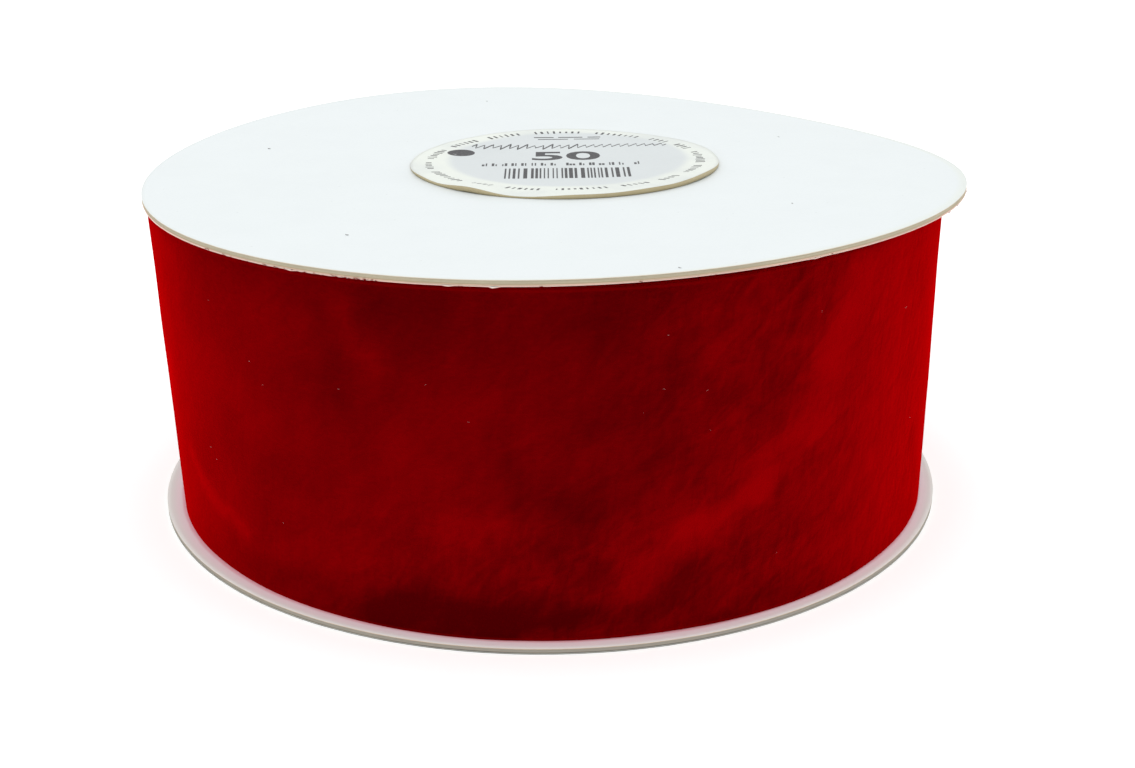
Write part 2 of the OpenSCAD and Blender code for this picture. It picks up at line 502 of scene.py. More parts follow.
def velvet_material(deep, light):
    """Cut pile: dark looking into it, red where it lies over, with a glow at grazing angles."""
    material, tree, surface = new_material(
        "red_velvet", roughness=0.9, specular_ior_level=0.0, sheen_weight=0.8, sheen_roughness=0.4
    )
    surface.inputs["Sheen Tint"].default_value = (0.8, 0.0, 0.0, 1)
    flat = add(tree, "UVMap", uv_map="ribbon_flat").outputs[0]
    # This attribute holds the lay of the pile, and a painted shadow of the upper flange at the top left.
    nap_and_shade = attribute(tree, "nap_and_shade")
    crush = attribute(tree, "crush")

    def strokes(turn, size, detail=3.0, distortion=0.6):
        """Noise drawn out along a direction on the flat ribbon, centred on nought."""
        lie = add(tree, "Mapping", {0: flat, 2: (0, 0, turn), 3: (*size, 1.0)}, vector_type="TEXTURE")
        sockets = {"Scale": 1.0, "Detail": detail, "Roughness": 0.6, "Distortion": distortion}
        streaks = add(tree, "TexNoise", {"Vector": lie.outputs[0], **sockets})
        return maths(tree, "SUBTRACT", streaks.outputs[0], 0.5)

    # Tufts stand in rows; strokes of the hand lie aslant; creases from packing run mostly upright.
    tufts = strokes(0.0, (1.1 * MM, 0.5 * MM))
    slant = strokes(math.radians(38), (8 * MM, 3.0 * MM), 2.6, 1.2)
    upright = strokes(math.radians(80), (4.5 * MM, 1.3 * MM), 2.6, 0.8)
    lay = maths(tree, "ADD", nap_and_shade, maths(tree, "MULTIPLY", slant, maths(tree, "ADD", crush, 0.15)))
    lay = maths(tree, "ADD", lay, maths(tree, "MULTIPLY", upright, maths(tree, "MULTIPLY", crush, 0.75)))
    lay = maths(tree, "ADD", lay, maths(tree, "MULTIPLY", tufts, 0.4))
    base = mix_colour(tree, ranged(tree, lay, -1.0, 1.15), deep, light)
    # A narrow woven selvedge without pile runs along both edges.
    across = add(tree, "SeparateXYZ", {0: flat}).outputs[1]
    from_edge = maths(tree, "MINIMUM", across, maths(tree, "SUBTRACT", RIBBON_W, across))
    selvedge = ranged(tree, from_edge, 0.35 * MM, 0.6 * MM, 0.45, 0.0)
    base = mix_colour(tree, selvedge, base, shade(light, 0.8))
    rough = ranged(tree, tufts, -0.3, 0.3, 0.8, 1.0)
    height = maths(tree, "ADD", tufts, maths(tree, "MULTIPLY", upright, maths(tree, "MULTIPLY", crush, 2.0)))
    plug(tree, surface, base, rough, maths(tree, "ADD", height, slant), 0.2 * MM, 0.3)
    return material


def clear_film_material():
    """Clear tape: a glossy film with fine rub marks and a few trapped bubbles."""
    material, tree, surface = new_material("clear_film", roughness=0.15, specular_ior_level=0.5, alpha=0.3)
    place = object_place(tree)
    rubs = add(tree, "TexNoise", {"Vector": place, "Scale": 700.0, "Detail": 3.0})
    cells = add(tree, "TexVoronoi", {"Vector": place, "Scale": 420.0})
    bubbles = ranged(tree, cells.outputs["Distance"], 0.12, 0.2, 1.0, 0.0)
    picks = add(tree, "SeparateColor", {0: cells.outputs["Color"]})
    bubbles = maths(tree, "MULTIPLY", bubbles, maths(tree, "GREATER_THAN", picks.outputs[1], 0.8))
    rim = attribute(tree, "film_edge")
    # The film itself shows only as the red beneath it, its sheen, its bubbles and its paler edge.
    base = mix_colour(tree, bubbles, (0.13, 0.003, 0.003), (0.4, 0.16, 0.16))
    base = mix_colour(tree, rim, base, (0.5, 0.42, 0.4))
    rough = ranged(tree, rubs.outputs[0], 0.3, 0.7, 0.08, 0.26)
    clear = maths(tree, "ADD", maths(tree, "MULTIPLY", maths(tree, "MAXIMUM", bubbles, rim), 0.25), 0.27)
    tree.links.new(clear, surface.inputs["Alpha"])
    plug(tree, surface, base, rough, maths(tree, "ADD", rubs.outputs[0], bubbles), 0.01 * MM)
    return material


def label_face_material(grain, cream, shade_grey):
    """The label's printed side: cream paper with a painted shade over its middle, where it lies over the dark
    spindle hole.
    """
    material, tree, surface = new_material("label_face", roughness=0.42, specular_ior_level=0.4)
    shade_middle = (-LABEL_CENTRE.x, -LABEL_CENTRE.y - 2.6 * MM, 0)
    place = add(tree, "Mapping", {0: object_place(tree), 1: shade_middle}).outputs[0]
    from_middle = length_of(tree, flattened(tree, place))
    marks = add(tree, "Group", {"Place": place, "Fibre Size": 2400.0}, node_tree=grain).outputs
    # Painted shade: the middle of the label, over the dark spindle hole, is darker than its cream edge.
    in_shade = ranged(tree, from_middle, LABEL_R * 0.74, LABEL_R * 0.82, 1.0, 0.0)
    base = mix_colour(tree, in_shade, cream, shade_grey)
    base = over(tree, base, marks["Clouds"], 0.4, 0.8, shade(shade_grey, 0.95), 0.5)
    rough = ranged(tree, marks["Fibres"], 0.2, 0.8, 0.36, 0.5)
    plug(tree, surface, base, rough, marks["Fibres"], 0.004 * MM)
    return material


def ink_material(tint):
    """Black print, worn a little paler in fine spots."""
    material, tree, surface = new_material("label_ink", roughness=0.5)
    wear = add(tree, "TexNoise", {"Vector": object_place(tree), "Scale": 2600.0, "Detail": 3.0})
    base = over(tree, tint, wear.outputs[0], 0.5, 0.75, (0.11, 0.11, 0.12), 0.5)
    plug(tree, surface, base, ranged(tree, wear.outputs[0], 0.3, 0.7, 0.4, 0.6))
    return material


def fibre_material(name, tint):
    """Loose fibre, a little darker here and there along its length."""
    material, tree, surface = new_material(name, roughness=0.9, specular_ior_level=0.05)
    twist = add(tree, "TexNoise", {"Vector": object_place(tree), "Scale": 4000.0})
    plug(tree, surface, mix_colour(tree, twist.outputs[0], tint, shade(tint, 0.7)))
    return material


MATERIALS = {}


# ---------------------------------------------------------------- flanges


def beyond_core(radius):
    """How far out on a flange: 0 within the core, 1 at the rim."""
    return max(radius - CORE_R, 0) / (FLANGE_R - CORE_R)


def flange_warp(radius, angle, most):
    """Lift of the upper flange, which is glued flat to the core and bends like a saddle beyond it."""
    saddle = -0.50 * math.cos(2 * angle) - 0.93 * math.sin(2 * angle)
    ripple = 0.19 * math.cos(3 * angle) - 0.32 * math.sin(3 * angle)
    tilt = -0.39 * math.cos(angle)
    return most * (saddle + ripple + tilt) * beyond_core(radius) ** 1.5


def table_lift(radius, angle, most):
    """Lift of the lower flange, which lies on the table, so that its rim only lifts here and there."""
    return most * (1 + math.sin(2 * angle + 0.7)) / 2 * beyond_core(radius) ** 2


FLANGE_STEPS = 400
# Torn spots of the inner paper's rim: angle, half-width in degrees, length in millimetres.
RIM_BURRS = ((263.0, 0.4, 0.2), (257.9, 0.35, 0.12), (238.0, 0.5, 0.1), (301.0, 0.6, 0.08), (96.0, 0.5, 0.14))


def disc_profile(outer, low, high, up, corner):
    """The outline of half a flange disc: its rings lie close together by the rim."""
    radii = [SPINDLE_R + corner, 27 * MM, CORE_R]
    radii += [CORE_R + (outer - 1.6 * MM - CORE_R) * step / 6 for step in range(1, 7)]
    radii += [outer - 0.7 * MM, outer - corner]
    under = [(radius, low) for radius in radii]
    over = [(radius, high) for radius in reversed(radii)]
    rim = between((outer, low + corner), (outer, high - corner), up) + [(outer, high - corner)]
    bore = [(SPINDLE_R, high - corner), (SPINDLE_R, low + corner)]
    return under + rim + over + bore


def flange_disc(context, node, warp, most, slide, crush):
    """One disc of a flange: a paper, or the board, whose cut edge shows its pressed layers.

    Attributes guide its finish. Rise runs from the winding's side of the disc to the other. Cut is 1 on the
    trimmed rim, and 2 on the rim of a disc that stands on the table, where a painted contact shadow darkens
    it.
    Blush is a painted pink glow of light bounced from the velvet, and wear is where it is rubbed.
    """
    is_board = node.endswith("board")
    burrs = RIM_BURRS if node == "upper_flange_inner_paper" else ()
    stands = node in ("lower_flange_outer_paper", "lower_flange_board")
    low, high = bottom_of(node), top_of(node)
    corner = min((high - low) * 0.2, 0.06 * MM)
    outer = FLANGE_R - (0.03 * MM if is_board else 0.0)
    bm = spun(disc_profile(outer, low, high, 8 if is_board else 1, corner), FLANGE_STEPS)
    rise, cut, red_bounce, wear = (bm.verts.layers.float.new(name) for name in ("rise", "cut", "red_bounce", "wear"))
    faces_down = node.startswith("upper")
    for vert in bm.verts:
        radius = math.hypot(vert.co.x, vert.co.y)
        turn = math.degrees(math.atan2(vert.co.y, vert.co.x)) % 360
        # Points are drawn together round each burr, so that it stays small and sharp.
        for centre, *_ in burrs:
            if abs(turn - centre) < 4:
                turn = centre + (turn - centre) * (0.25 + 0.75 * abs(turn - centre) / 4)
        angle = math.radians(turn)
        height = vert.co.z
        up = (height - low) / (high - low)
        on_rim = radius > outer - corner * 0.5
        vert[rise] = up if faces_down else 1 - up
        # The rim of a standing disc is marked for a painted contact shadow, other rims for bare cut pulp.
        if on_rim:
            vert[cut] = 2.0 if stands else 1.0
        if node == "lower_flange_outer_paper" and up < 0.3:
            vert[wear] = 1.0
        # Painted pink glow of light bounced from the velvet: strongest by the winding, and full on the upper
        # lining's rim.
        if "inner" in node and radius > CORE_R + 0.1 * MM:
            vert[red_bounce] = 0.3 + 0.7 * (1 - smooth_step(WINDING_R - 0.5 * MM, FLANGE_R, radius))
            if faces_down and on_rim:
                vert[red_bounce] = 1.0
        shift = 0.0
        if radius > outer - corner * 1.5:
            level = height / MM * (3.2 if is_board else 0.5)
            where = Vector((math.cos(angle) * 9, math.sin(angle) * 9, level))
            shift = crush * (noise.noise(where * 3.1) + (0.5 * noise.noise(where * 9) if is_board else 0))
            for centre, spread, size in burrs:
                lump = bump_at(turn, centre, spread) * size * MM
                shift += lump
                height -= lump * 0.8
        share = smooth_step(SPINDLE_R, CORE_R, radius)
        vert.co = (
            (radius + shift) * math.cos(angle) + slide[0] * share,
            (radius + shift) * math.sin(angle) + slide[1] * share,
            height + warp(radius, angle, most),
        )
    name = node.replace("_outer", "_face").replace("_inner", "_lining") + "_sheet"
    material = MATERIALS["grey_board" if is_board else "coated_white"]
    finish_piece(context, name, bm, [material], [node])


class SPOOL_OT_flanges(bpy.types.Operator):
    """Make the two laminated board flanges"""
    bl_idname = "spool.flanges"
    bl_label = "Flanges"

    def execute(self, context):
        sizes = context.scene.spool_sizes
        flanges = (
            ("lower", table_lift, 0.12 * MM, sizes.lower_slide),
            ("upper", flange_warp, sizes.flange_warp, sizes.upper_slide),
        )
        for side, warp, most, slide in flanges:
            for layer in ("outer_paper", "board", "inner_paper"):
                flange_disc(context, f"{side}_flange_{layer}", warp, most, slide, sizes.board_crush)
        return {"FINISHED"}


# ---------------------------------------------------------------- core


def core_lining(context, seam_pitch):
    """A paper tube with the shallow groove of its spiral seam on the inside."""
    low, high = bottom_of("core_lining"), top_of("core_lining")
    bm = spun(tube_profile(BORE_R, LINING_R, low, high, 72, 0.03 * MM), 288)
    middle = (BORE_R + LINING_R) / 2
    for vert in bm.verts:
        radius = math.hypot(vert.co.x, vert.co.y)
        angle = math.atan2(vert.co.y, vert.co.x)
        across = ((vert.co.z + angle * seam_pitch / TURN) / seam_pitch) % 1
        groove = math.exp(-(((across - 0.5) * seam_pitch / (0.5 * MM)) ** 2)) * 0.08 * MM
        if radius < middle:
            scale = (radius + groove) / radius
            vert.co.x *= scale
            vert.co.y *= scale
    lining = [MATERIALS["kraft_lining"]]
    finish_piece(context, "core_kraft_lining", bm, lining, ["core_lining"])


class SPOOL_OT_core(bpy.types.Operator):
    """Make the core's spiral-wound lining, and finish its plies and cover"""
    bl_idname = "spool.core"
    bl_label = "Core"

    def execute(self, context):
        core_lining(context, context.scene.spool_sizes.seam_pitch)
        for node, material in (
            ("core_inner_ply", "core_board"),
            ("core_outer_ply", "core_board"),
            ("core_cover", "core_cover_paper"),
            ("start_tape", "tape_yellow"),
        ):
            finishes = frame["nodes"][node].data.materials
            finishes.clear()
            finishes.append(MATERIALS[material])
        return {"FINISHED"}


class SPOOL_OT_glue_beads(bpy.types.Operator):
    """Make the beads of glue in the corners between the core and the flanges"""
    bl_idname = "spool.glue_beads"
    bl_label = "Glue Beads"

    def execute(self, context):
        for node, up, seed in (("lower_glue_bead", 1, 3.0), ("upper_glue_bead", -1, 11.0)):
            low, high = bottom_of(node), top_of(node)
            leg = high - low
            corner_z = low if up > 0 else high
            steps = 7
            outline = [(BORE_R, corner_z)]
            for step in range(steps + 1):
                turn = math.pi / 2 * step / steps
                in_by, up_by = leg * math.cos(turn) * 0.97, up * leg * math.sin(turn) * 0.97
                outline.append((BORE_R - in_by, corner_z + up_by))
            bm = spun(outline, 360)
            for vert in bm.verts:
                radius = math.hypot(vert.co.x, vert.co.y)
                along = Vector((vert.co.x, vert.co.y, seed * MM)) * 90
                fat = min(0.82 + 0.3 * noise.noise(along) + 0.16 * noise.noise(along * 3.1), 1.0)
                scale = (BORE_R - (BORE_R - radius) * fat) / radius
                vert.co.x *= scale
                vert.co.y *= scale
                vert.co.z = corner_z + (vert.co.z - corner_z) * fat
            finish_piece(context, node.replace("bead", "run"), bm, [MATERIALS["glue"]], [node])
        return {"FINISHED"}


# ---------------------------------------------------------------- ribbon

RIBBON_START = math.radians(-14)


def tail_angle():
    """Angle of the ribbon's outer end, at the middle of the clear tape, about the winding's own axis."""
    middle = (TAPE_LOW + TAPE_HIGH) / 2
    return math.atan2(middle.y, middle.x - LEAN)


class Winding:
    """Where each point of the flat ribbon comes to lie once it is wound."""

    def __init__(self, sizes):
        self.sizes = sizes
        self.tail = tail_angle()
        whole_turns = 29
        self.turns = whole_turns + (self.tail - RIBBON_START) / TURN
        # Half of the last turn lies inside the winding's radius and half outside it.
        self.thickness = (WINDING_R - FIRST_TURN_R) / (self.turns + 0.5)
        self.last = self.turns * TURN
        self.tape_sweep = 23 * MM / WINDING_R

    def middle(self, wound):
        """Radius of the ribbon's middle after winding through this angle."""
        return FIRST_TURN_R + self.thickness * (0.5 + wound / TURN)

    def length_to(self, wound):
        return (FIRST_TURN_R + self.thickness / 2) * wound + self.thickness * wound * wound / (2 * TURN)

    def pressed(self, angle, height):
        """How far the clear tape presses the pile down, from 0 to 1."""
        off = (angle - self.tail + math.pi) % TURN - math.pi
        along = 1 - smooth_step(self.tape_sweep, self.tape_sweep + 2.5 * MM / WINDING_R, abs(off))
        half_w = (TAPE_HIGH.z - TAPE_LOW.z) / 2
        across = 1 - smooth_step(half_w, half_w + 1.5 * MM, abs(height - (TAPE_LOW.z + TAPE_HIGH.z) / 2))
        return along * across

    def swell(self, angle, height, wound):
        """How far the outer turns stand off a true spiral."""
        outer = smooth_step(self.last - 3 * TURN, self.last - TURN, wound)
        if outer == 0:
            return 0.0
        where = Vector((math.cos(angle) * 2.2, math.sin(angle) * 2.2, height / MM / 26))
        soft = noise.noise(where) + 0.45 * noise.noise(where * 2.7 + Vector((5, 2, 9)))
        return outer * (self.sizes.ribbon_ripple * soft - self.sizes.pile_press * self.pressed(angle, height))

    def flare(self, angle, height, wound):
        """The outer turns lean out to the top at the left, and in to the bottom at the front left."""
        outer = (wound / self.last) ** 3
        up = height / RIBBON_W * 2 - 1
        top = self.sizes.winding_flare * (0.6 - 0.35 * math.cos(angle))
        bottom = self.sizes.winding_flare * (0.65 + 0.6 * math.cos(angle - math.radians(225)))
        return outer * up * (top if up > 0 else bottom)

    def leaning(self, radius, angle):
        """Where a turn of this radius lies: the further out, the more it is off the spool's axis."""
        share = (radius - FIRST_TURN_R) / (WINDING_R - FIRST_TURN_R)
        return radius * math.cos(angle) + LEAN * share, radius * math.sin(angle)

    def place(self, wound, height, depth):
        """The point at this winding angle, height and depth, from -1 inside to 1 outside."""
        angle = RIBBON_START + wound
        edge = min(height, RIBBON_W - height)
        round_off = min(edge / (0.35 * MM), 1.0)
        fullness = 0.35 + 0.65 * math.sqrt(1 - (1 - round_off) ** 2)
        end = min(self.last - wound, 0.02) / 0.02
        fullness *= 0.55 + 0.45 * math.sqrt(max(end, 0.0))
        radius = self.middle(wound) + depth * self.thickness * 0.49 * fullness
        radius += self.swell(angle, RIBBON_LOW.z + height, wound) * (0.5 + 0.5 * depth)
        radius += self.flare(angle, height, wound)
        x, y = self.leaning(radius, angle)
        lift = flange_warp(math.hypot(x, y), math.atan2(y, x), self.sizes.flange_warp)
        ceiling = CEILING_Z - 0.06 * MM + lift
        room = min(1.0, (ceiling - RIBBON_LOW.z) / RIBBON_W)
        return Vector((x, y, RIBBON_LOW.z + height * room))


def flat_strip(bm, start, end, steps, rows):
    """A flat stretch of ribbon: x is the winding angle, y the height, on a grid."""
    made = bmesh.ops.create_grid(bm, x_segments=steps, y_segments=len(rows) - 1, size=1)["verts"]
    for vert in made:
        vert.co.x = start + (vert.co.x + 1) / 2 * (end - start)
        vert.co.y = rows[round((vert.co.y + 1) / 2 * (len(rows) - 1))]
    return made


def border(bm, verts, x):
    """The edges of these vertices that lie on one x."""
    own = {vert for vert in verts if abs(vert.co.x - x) < 1e-6}
    return [edge for edge in bm.edges if edge.verts[0] in own and edge.verts[1] in own]


def edge_rows(count):
    """Heights across the ribbon, closer together by both woven edges."""
    close = [0.0, 0.05 * MM, 0.15 * MM, 0.35 * MM] if count > 1 else [0.0, 0.35 * MM]
    inside = [0.35 * MM + (RIBBON_W - 0.7 * MM) * step / count for step in range(1, count)]
    return close + inside + [RIBBON_W - row for row in reversed(close)]


# Strokes left in the pile by handling, and one painted shadow of the upper flange: angle and height where
# each starts and ends, its half-width, and how much lighter or darker it looks. Angles are in degrees,
# heights and widths in millimetres.
NAP_AND_SHADE_STROKES = (
    (216, 34, 228, 28, 6, 0.3), (207, 15, 224, 9, 1.4, 0.7),
    # The first stroke below, dark along the top at the left, is a painted shadow of the upper flange.
    (210, 50, 240, 49, 4, -0.2), (222, 5, 242, 3, 2.4, -0.25), (248, 3, 264, 4, 3.3, -0.9),
    (264, 5, 272, 4, 3, -0.5), (270, 3, 302, 3, 2.4, -0.35), (286, 7, 298, 9, 2, -0.25),
    (242, 46, 242, 36, 3.5, -0.35),
    (243, 47, 250, 38, 1.8, 0.35), (250, 48, 284, 48, 5, -0.4), (250, 41, 282, 37, 7, -0.2),
    (275, 31, 285, 38, 4, -0.2), (265, 33, 265, 22, 2.5, -0.2), (266, 23, 274, 21, 3, -0.2),
    (268, 14, 278, 12, 3, -0.2), (272, 20, 286, 28, 5, -0.25), (256, 15, 263, 17, 2, 0.3),
    (282, 11, 290, 15, 3.2, 0.5), (289, 15, 297, 19, 3.2, 0.55), (297, 19, 304, 28, 3.0, 0.45),
    (305, 28, 310, 38, 3.0, 0.4), (309, 38, 315, 46, 3.0, 0.4), (290, 38, 293, 34, 3, -0.25),
    (304, 25, 301, 12, 2.6, -0.15), (304, 51, 308, 42, 4, -0.2), (317.4, 18.6, 317.7, 16.4, 0.9, 1.2),
    (309, 50, 312, 2, 7, 0.25), (321, 50, 325, 2, 9, 0.65),
)


def all_strokes():
    """The strokes above, and others like them at random round the rest of the winding."""
    draw = random.Random(5)
    strokes = list(NAP_AND_SHADE_STROKES)
    for _ in range(26):
        angle, height = draw.uniform(335, 565), draw.uniform(3, 48)
        along, up = draw.uniform(-9, 9), draw.uniform(-10, 12)
        strength = draw.choice((-1, 1)) * draw.uniform(0.3, 0.6)
        strokes.append((angle, height, angle + along, height + up, draw.uniform(1.5, 5), strength))
    return strokes


def nap_and_shade_at(strokes, angle, height):
    """How the pile lies, with the upper flange's painted shadow, at an angle in degrees and a height in
    millimetres: 1 light, -1 dark.
    """
    round_mm = math.radians(1) * WINDING_R / MM
    turn = math.radians(angle)
    where = Vector((math.cos(turn), math.sin(turn), 0)) * WINDING_R / MM + Vector((0, 0, height))
    sway = noise.noise_vector(where / 9) * 2.8 + noise.noise_vector(where / 3.4) * 1.5
    flatter = Vector((where.x, where.y, where.z * 0.6))
    total = 0.25 * noise.noise(where / 16) + 0.15 * noise.noise(flatter / 4.5)
    for start, low, end, high, width, strength in strokes:
        x = ((angle - start + 180) % 360 - 180) * round_mm + sway.x
        y = height - low + sway.y
        dx, dy = (end - start) * round_mm, high - low
        share = min(max((x * dx + y * dy) / (dx * dx + dy * dy), 0), 1)
        away = ((x - share * dx) ** 2 + (y - share * dy) ** 2) / width ** 2
        if away < 6:
            total += strength * math.exp(-away)
    return max(-1.0, min(1.0, total))


def crush_at(angle, height):
    """How creased the pile is: most at the right of the front and low down, from 0 to 1."""
    creased = bump_at(angle, 312, 30) + 0.6 * bump_at(angle, 265, 30) * (1 - smooth_step(12, 26, height))
    return min(1.0, 0.25 + creased + 0.5 * bump_at(angle, 120, 60))


class SPOOL_OT_ribbon(bpy.types.Operator):
    """Wind the velvet ribbon on the core in one spiral"""
    bl_idname = "spool.ribbon"
    bl_label = "Ribbon"

    def execute(self, context):
        sizes = context.scene.spool_sizes
        winding = Winding(sizes)
        strokes = all_strokes()
        fine_turns = 1.35
        outer_from = winding.last - fine_turns * TURN
        bm = bmesh.new()
        inner = flat_strip(bm, 0.0, outer_from, round(outer_from / TURN * sizes.turn_steps), edge_rows(1))
        gap = TURN / sizes.outer_steps
        fine_steps = round(fine_turns * sizes.outer_steps)
        outer = flat_strip(bm, outer_from + gap, winding.last, fine_steps, edge_rows(40))
        seam = border(bm, inner, outer_from) + border(bm, outer, outer_from + gap)
        bmesh.ops.bridge_loops(bm, edges=seam)
        bmesh.ops.recalc_face_normals(bm, faces=bm.faces)
        thicken(bm, 1)
        flat = bm.loops.layers.uv.new("ribbon_flat")
        for face in bm.faces:
            for loop in face.loops:
                wound, height = loop.vert.co.x, loop.vert.co.y
                loop[flat].uv = (winding.length_to(wound), height)
        nap_and_shade, crush = (bm.verts.layers.float.new(name) for name in ("nap_and_shade", "crush"))
        for vert in bm.verts:
            wound, height, depth = vert.co.x, vert.co.y, vert.co.z * 2 - 1
            angle = math.degrees(RIBBON_START + wound) % 360
            if wound > outer_from:
                vert[nap_and_shade] = nap_and_shade_at(strokes, angle, height / MM)
                vert[crush] = crush_at(angle, height / MM)
            if wound > winding.last - 1e-5:
                # The cut end frays a little, and shows the dark ground of the cloth.
                vert[nap_and_shade] = -1.0
                wound += noise.noise(Vector((height / MM * 1.3, 4, 8))) * 0.35 * MM / WINDING_R
            vert.co = winding.place(wound, height, depth)
        ribbon = finish_piece(context, "velvet_ribbon", bm, [MATERIALS["velvet"]], ["ribbon"])
        return {"FINISHED"}


class SPOOL_OT_tail_tape(bpy.types.Operator):
    """Lay the clear tape over the ribbon's outer end"""
    bl_idname = "spool.tail_tape"
    bl_label = "Tail Tape"

    def execute(self, context):
        sizes = context.scene.spool_sizes
        winding = Winding(sizes)
        teeth = sizes.tape_teeth
        bm = bmesh.new()
        film_edge = bm.verts.layers.float.new("film_edge")
        middle, half_w = (TAPE_LOW.z + TAPE_HIGH.z) / 2, (TAPE_HIGH.z - TAPE_LOW.z) / 2
        verts = bmesh.ops.create_grid(bm, x_segments=96, y_segments=teeth * 2, size=1)["verts"]
        for vert in verts:
            row = round((vert.co.y + 1) * teeth)
            tooth = 0.5 * MM / WINDING_R * (1 if row % 2 else -1)
            near_end = max(0.0, (abs(vert.co.x) - 0.97) / 0.03)
            outward = 1 if vert.co.x > 0 else -1
            vert.co.x = vert.co.x * winding.tape_sweep + outward * tooth * near_end
            vert.co.y = middle + vert.co.y * half_w
        for vert in verts:
            if vert.is_boundary:
                vert[film_edge] = 0.6
        thicken(bm, 0.05 * MM)
        for vert in bm.verts:
            off, height, up = vert.co
            angle = winding.tail + off
            step = smooth_step(-0.3 * MM / WINDING_R, 2.6 * MM / WINDING_R, off)
            wound = winding.last + off
            radius = winding.middle(wound) + winding.thickness * (0.49 - step)
            radius += winding.swell(angle, height, winding.last) + 0.02 * MM + up
            radius += winding.flare(angle, height - RIBBON_LOW.z, winding.last)
            vert.co = (*winding.leaning(radius, angle), height)
        finish_piece(context, "clear_tail_tape", bm, [MATERIALS["clear_film"]], ["tail_tape"])
        return {"FINISHED"}


# ---------------------------------------------------------------- label

# Where the label's edge has come unstuck: angle, spread in degrees, and share of the full lift.
LABEL_LIFTS = (
    (234, 13, 1.0), (206, 12, 0.5), (272, 14, 0.6), (298, 18, 0.75), (330, 20, 1.0), (20, 25, 0.4),
    (100, 40, 0.4),
)


def label_height(x, y, sizes):
    """Height of the label's underside over a point given from the label's centre."""
    radius = math.hypot(x, y)
    turn = math.degrees(math.atan2(y, x)) % 360
    lift = sum(share * bump_at(turn, centre, spread) for centre, spread, share in LABEL_LIFTS)
    edge = smooth_step(0.62 * LABEL_R, 1.02 * LABEL_R, radius)
    hole = math.hypot(x + LABEL_CENTRE.x, y + LABEL_CENTRE.y)
    sag = 1 - smooth_step(0.55 * SPINDLE_R, 1.04 * SPINDLE_R, hole)
    ripple = noise.noise(Vector((x, y, 0)) * 160) * 0.05 * MM
    return TOP_Z + 0.015 * MM + sizes.label_lift * lift * edge ** 1.6 - sizes.label_sag * sag + ripple * edge


def ink_bar(bm, x, y, width, height, turn=0.0):
    """A flat bar of ink, centred at x, y and turned about the label's centre."""
    made = bmesh.ops.create_grid(bm, x_segments=1, y_segments=1, size=0.5)["verts"]
    place = Matrix.Rotation(turn, 3, "Z")
    for vert in made:
        vert.co = place @ Vector((x + vert.co.x * width, y + vert.co.y * height, 0))


def ink_number(bm, text, x, y, height, stretch):
    """Plain figures, laid flat and drawn out sideways."""
    curve = bpy.data.curves.new("figures", "FONT")
    curve.body = text
    curve.align_x = "CENTER"
    curve.align_y = "CENTER"
    curve.size = height * 1.4
    curve.offset = height * 0.03
    curve.resolution_u = 4
    carrier = bpy.data.objects.new("figures", curve)
    mesh = bpy.data.meshes.new_from_object(carrier)
    mesh.transform(Matrix.Translation((x, y, 0)) @ Matrix.Diagonal((stretch, 1, 1, 1)))
    bm.from_mesh(mesh)
    bpy.data.objects.remove(carrier)
    bpy.data.curves.remove(curve)
    bpy.data.meshes.remove(mesh)


def label_print(bm):
    """Generic print: a ring of ticks, rules, a wave, a plain figure and a row of bars."""
    draw = random.Random(7)
    # Ticks round the edge, in groups like words; they stand further in at the front.
    places = 130
    tick = 0
    while tick < places:
        for _ in range(draw.randint(4, 9)):
            turn = tick * TURN / places
            ring = 22.3 - 3.0 * bump_at(math.degrees(turn), 270, 55)
            ink_bar(bm, ring * MM, 0, draw.uniform(0.9, 1.6) * MM, draw.uniform(0.22, 0.5) * MM, turn)
            tick += 1
        tick += 2
    # Two rows of short rules: middle, height on the label, width and thickness.
    for x, y, width, thick in (
        (-3.4, 18.8, 3.4, 0.5), (1.2, 18.8, 4.2, 0.5), (5.3, 18.8, 2.2, 0.5),
        (-1.8, 17.4, 5.2, 0.4), (4.0, 17.4, 4.4, 0.4),
    ):
        ink_bar(bm, x * MM, y * MM, width * MM, thick * MM)
    # A scribbled flourish, thick on its down-strokes.
    loops = 23
    tall = []
    for _ in range(loops + 1):
        reach = (0.5, 0.9) if draw.random() < 0.7 else (1.3, 2.0)
        tall.append(draw.uniform(*reach))
    wave = bmesh.ops.create_grid(bm, x_segments=loops * 12, y_segments=1, size=0.5)["verts"]
    for vert in wave:
        along = (vert.co.x + 0.5) * loops
        blend = smooth_step(0.0, 1.0, along % 1)
        high = tall[int(along)] * (1 - blend) + tall[min(int(along) + 1, loops)] * blend
        thick = 0.45 + 1.0 * max(0.0, -math.cos(along * TURN)) + 0.3 * (high > 1.2)
        lean = 0.35 * high * math.sin(along * TURN)
        y = 12.2 + high * math.sin(along * TURN) + vert.co.y * thick
        vert.co = ((0.9 + vert.co.x * 33 + lean) * MM, y * MM, 0)
    ink_number(bm, "50", 0.2 * MM, 5.0 * MM, 6.2 * MM, 1.35)
    # A row of short strokes, and under it a row of upright bars that stand for nothing.
    x = -13.2
    while x < 13.6:
        for _ in range(draw.choice((2, 2, 3))):
            tall = draw.choice((1.2, 1.9, 1.9)) * MM
            ink_bar(bm, x * MM, -0.8 * MM - (1.9 * MM - tall) / 2, draw.choice((0.22, 0.4)) * MM, tall)
            x += 0.52
        x += 0.55 if draw.random() < 0.75 else 1.5
    x = -9.6
    while x < 10.2:
        width = draw.choice((0.2, 0.26, 0.42, 0.62))
        ink_bar(bm, (x + width / 2) * MM, -7.2 * MM, width * MM, 7.0 * MM)
        x += width + draw.choice((0.26, 0.4, 0.6))
    middle = Matrix.Translation((-17.2 * MM, 7.6 * MM, 0))
    bmesh.ops.create_circle(bm, cap_ends=True, segments=28, radius=2.3 * MM, matrix=middle)


